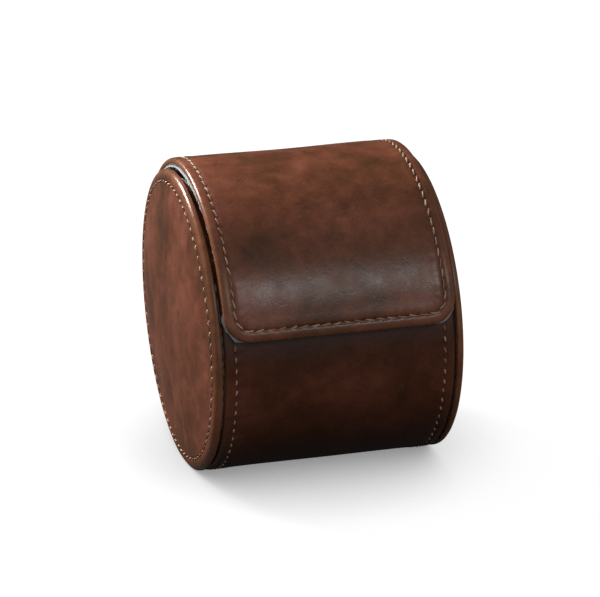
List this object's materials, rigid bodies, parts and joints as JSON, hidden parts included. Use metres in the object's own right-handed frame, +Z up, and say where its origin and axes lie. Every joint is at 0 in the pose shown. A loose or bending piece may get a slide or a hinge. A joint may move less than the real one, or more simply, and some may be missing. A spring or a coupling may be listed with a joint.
{
  "type": "watch roll",
  "caption": "Round leather watch roll: padded end discs, a hinged flap that wraps over the front, and a lift-out watch cushion.",
  "frame": {"origin": "on the flat under the roll, below the middle of the oval and midway between the end discs", "axes": "+X along the roll towards its right end, +Z up, and the flap opens at the front, towards -Y"},
  "size_m": [0.0784, 0.0887, 0.0891],
  "materials": {
    "leather": "satin, mottled brown",
    "suede": "matt, short nap",
    "board": "matt",
    "foam": "open cell, matt",
    "cushion_fabric": "matt, short nap",
    "steel": "plated"
  },
  "bodies": {
    "case": {"case_leather": "leather", "case_board": "board", "case_lining": "suede", "case_magnets": "steel", "left_wall_board": "board", "left_wall_lining": "suede", "left_disc_board": "board", "left_disc_foam": "foam", "left_disc_leather": "leather", "right_wall_board": "board", "right_wall_lining": "suede", "right_disc_board": "board", "right_disc_foam": "foam", "right_disc_leather": "leather"},
    "flap": {"flap_leather": "leather", "flap_board": "board", "flap_lining": "suede", "flap_magnets": "steel", "hinge_leather": "leather"},
    "cushion": {"cushion_core": "foam", "cushion_cover": "cushion_fabric", "cushion_left_cap": "cushion_fabric", "cushion_right_cap": "cushion_fabric"}
  },
  "joints": [
    {"name": "flap_hinge", "type": "hinge", "parent": "case", "child": "flap", "pos_m": [0, 0.04256, 0.05975], "axis": [-1, 0, 0], "range_deg": [0, 140]},
    {"name": "cushion_lift", "type": "slide", "parent": "case", "child": "cushion", "axis": [0, 0, 1], "range_m": [0, 0.0758]}
  ],
  "couplings": [
    {"joint": "cushion_lift", "follows": "flap_hinge", "m_per_rad": 0.031}
  ]
}
